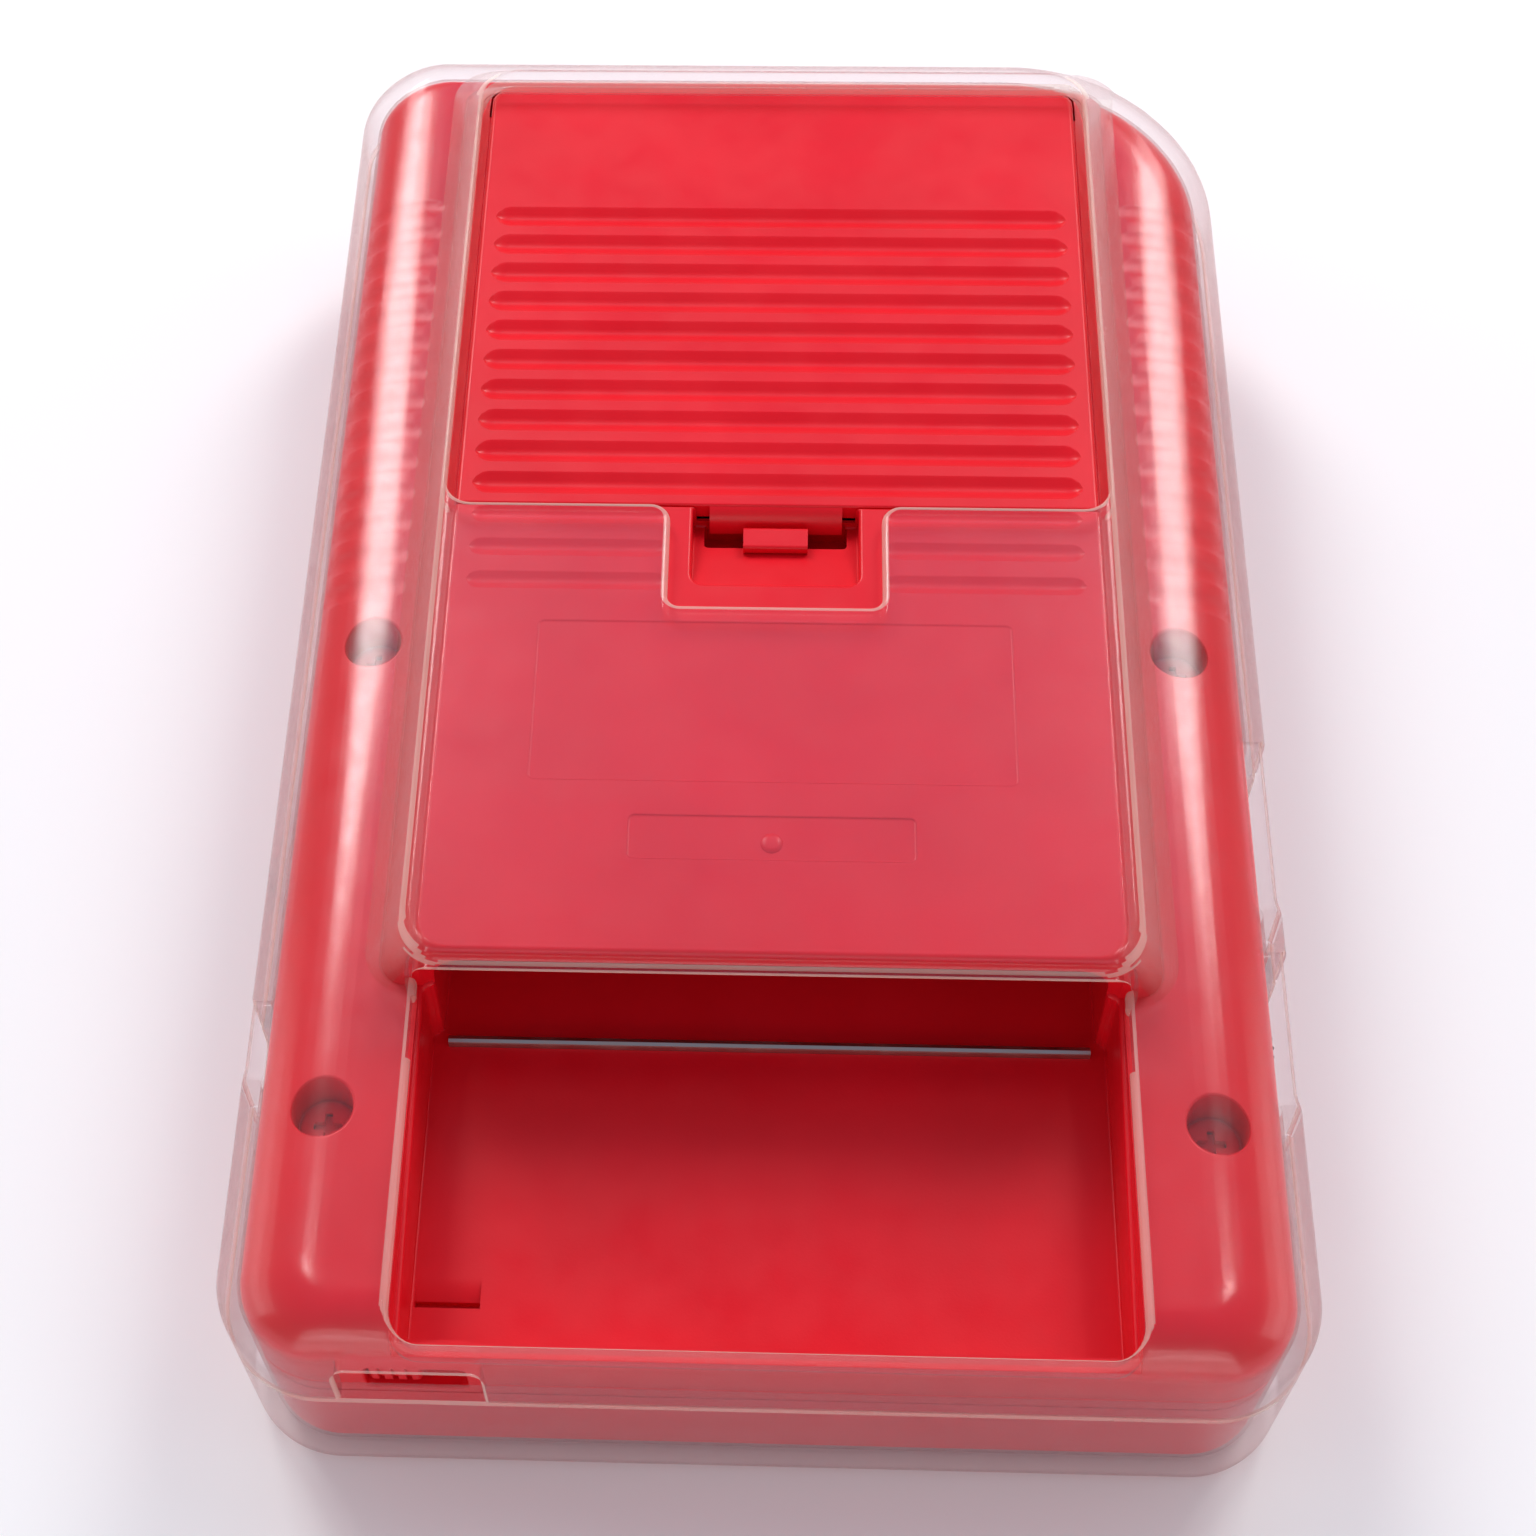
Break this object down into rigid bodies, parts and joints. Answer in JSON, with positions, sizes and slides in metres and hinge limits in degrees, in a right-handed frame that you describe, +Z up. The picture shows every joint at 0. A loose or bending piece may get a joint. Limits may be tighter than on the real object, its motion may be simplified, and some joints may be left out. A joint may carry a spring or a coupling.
{
  "type": "handheld game console in a clear protective case",
  "caption": "Portable game console lying screen down in a clear two-piece protective case, with battery door, cartridge slot, wheels and buttons.",
  "frame": {"origin": "centre of the footprint, on the surface that the case lies on", "axes": "+Z up out of the console's back, +Y from the cartridge end to the battery end, +X to the right with the cartridge end nearest"},
  "size_m": [0.094, 0.152, 0.036],
  "materials": {
    "clear_case": "polished clear polycarbonate",
    "red_shell": "fine textured red ABS",
    "dark_plastic": "satin",
    "button_plastic": "semi gloss",
    "rubber_grey": "silicone rubber",
    "lens": "printed acrylic",
    "lcd": "display glass",
    "board": "solder mask on glass fibre",
    "metal": "nickel-plated steel",
    "cell_wrap": "printed sleeve",
    "cable": "polyimide film"
  },
  "bodies": {
    "console": {"case_front": "clear_case", "shell_front": "red_shell", "shell_back": "red_shell", "battery_light": "red_shell", "cartridge_connector": "dark_plastic", "processor_chip": "dark_plastic", "memory_chip": "dark_plastic", "amplifier_chip": "dark_plastic", "capacitor": "dark_plastic", "link_port": "dark_plastic", "dc_jack": "dark_plastic", "headphone_jack": "dark_plastic", "speaker": "dark_plastic", "dpad_membrane": "rubber_grey", "action_button_membrane": "rubber_grey", "menu_button_membrane": "rubber_grey", "screen_lens": "lens", "lcd_panel": "lcd", "front_circuit_board": "board", "main_circuit_board": "board", "cartridge_shield": "metal", "volume_control": "metal", "contrast_control": "metal", "contact_near_left": "metal", "contact_near_middle": "metal", "contact_near_right": "metal", "contact_far_left": "metal", "contact_far_right": "metal", "shell_screw_1": "metal", "shell_screw_2": "metal", "shell_screw_3": "metal", "shell_screw_4": "metal", "shell_screw_5": "metal", "shell_screw_6": "metal", "battery_cell_1": "cell_wrap", "battery_cell_2": "cell_wrap", "battery_cell_3": "cell_wrap", "battery_cell_4": "cell_wrap", "ribbon_cable": "cable"},
    "case_back": {"case_back": "clear_case"},
    "battery_door": {"battery_door": "red_shell"},
    "door_latch": {"door_latch": "red_shell"},
    "power_switch": {"power_switch": "red_shell"},
    "volume_wheel": {"volume_wheel": "dark_plastic"},
    "contrast_wheel": {"contrast_wheel": "dark_plastic"},
    "dpad_pivot": {"dpad_pivot": "rubber_grey"},
    "dpad": {"dpad": "button_plastic"},
    "button_a": {"button_a": "button_plastic"},
    "button_b": {"button_b": "button_plastic"},
    "menu_button_left": {"menu_button_left": "rubber_grey"},
    "menu_button_right": {"menu_button_right": "rubber_grey"}
  },
  "joints": [
    {"name": "case_back_lift", "type": "slide", "parent": "console", "child": "case_back", "axis": [0, 0, 1], "range_m": [0, 0.045]},
    {"name": "door_swing", "type": "hinge", "parent": "console", "child": "battery_door", "pos_m": [0, 0.0616, 0.0334], "axis": [-1, 0, 0], "range_deg": [0, 75]},
    {"name": "latch_flex", "type": "hinge", "parent": "battery_door", "child": "door_latch", "pos_m": [0, 0.0085, 0.0297], "axis": [-1, 0, 0], "range_deg": [0, 5], "stiffness_Nm_per_rad": 0.5},
    {"name": "power_slide", "type": "slide", "parent": "console", "child": "power_switch", "axis": [1, 0, 0], "range_m": [0, 0.0036]},
    {"name": "volume_turn", "type": "hinge", "parent": "console", "child": "volume_wheel", "pos_m": [0.0397, -0.0415, 0.0182], "axis": [0, 0, 1], "range_deg": [-135, 135]},
    {"name": "contrast_turn", "type": "hinge", "parent": "console", "child": "contrast_wheel", "pos_m": [-0.0407, -0.0442, 0.0182], "axis": [0, 0, 1], "range_deg": [-135, 135]},
    {"name": "dpad_tilt_x", "type": "hinge", "parent": "console", "child": "dpad_pivot", "pos_m": [-0.0255, 0.022, 0.0052], "axis": [1, 0, 0], "range_deg": [-3.5, 3.5], "stiffness_Nm_per_rad": 0.15},
    {"name": "dpad_tilt_y", "type": "hinge", "parent": "dpad_pivot", "child": "dpad", "pos_m": [-0.0255, 0.022, 0.0052], "axis": [0, 1, 0], "range_deg": [-3.5, 3.5], "stiffness_Nm_per_rad": 0.15},
    {"name": "button_a_press", "type": "slide", "parent": "console", "child": "button_a", "axis": [0, 0, 1], "range_m": [0, 0.0012], "stiffness_N_per_m": 900},
    {"name": "button_b_press", "type": "slide", "parent": "console", "child": "button_b", "axis": [0, 0, 1], "range_m": [0, 0.0012], "stiffness_N_per_m": 900},
    {"name": "menu_left_press", "type": "slide", "parent": "console", "child": "menu_button_left", "axis": [0, 0, 1], "range_m": [0, 0.001], "stiffness_N_per_m": 900},
    {"name": "menu_right_press", "type": "slide", "parent": "console", "child": "menu_button_right", "axis": [0, 0, 1], "range_m": [0, 0.001], "stiffness_N_per_m": 900}
  ]
}
